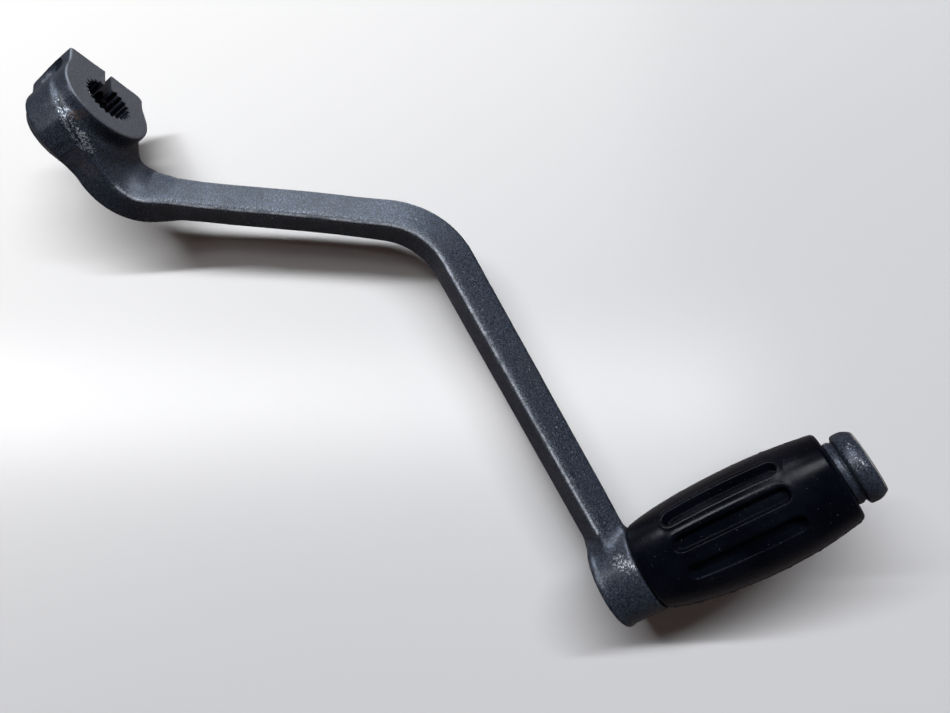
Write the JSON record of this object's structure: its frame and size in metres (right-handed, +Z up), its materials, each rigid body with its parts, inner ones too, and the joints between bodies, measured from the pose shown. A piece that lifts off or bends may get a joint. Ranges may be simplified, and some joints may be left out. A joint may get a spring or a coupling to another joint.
{
  "type": "motorcycle gear shift lever",
  "caption": "Forged foot gear-shift lever for a motorcycle: split serrated clamp boss, S-bent bar, and a fixed outboard peg with a barrel-shaped grooved rubber sleeve.",
  "frame": {"origin": "where the axis of the serrated bore meets the machined outer face of the clamp boss", "axes": "+Y along the bore axis, outward from the engine; +X forward, square to the bore, through the peg axis; +Z up"},
  "size_m": [0.1832, 0.1175, 0.031],
  "materials": {
    "painted_steel": "speckled semi-gloss",
    "pin_steel": "semi-gloss, worn bright at the rim",
    "rubber": "satin"
  },
  "bodies": {
    "lever": {"lever_arm": "painted_steel", "peg_pin": "pin_steel"},
    "sleeve": {"peg_sleeve": "rubber"}
  },
  "joints": [
    {"name": "sleeve_turn", "type": "hinge", "parent": "lever", "child": "sleeve", "pos_m": [0.157, 0.074, 0], "axis": [0, 1, 0], "continuous": true}
  ]
}
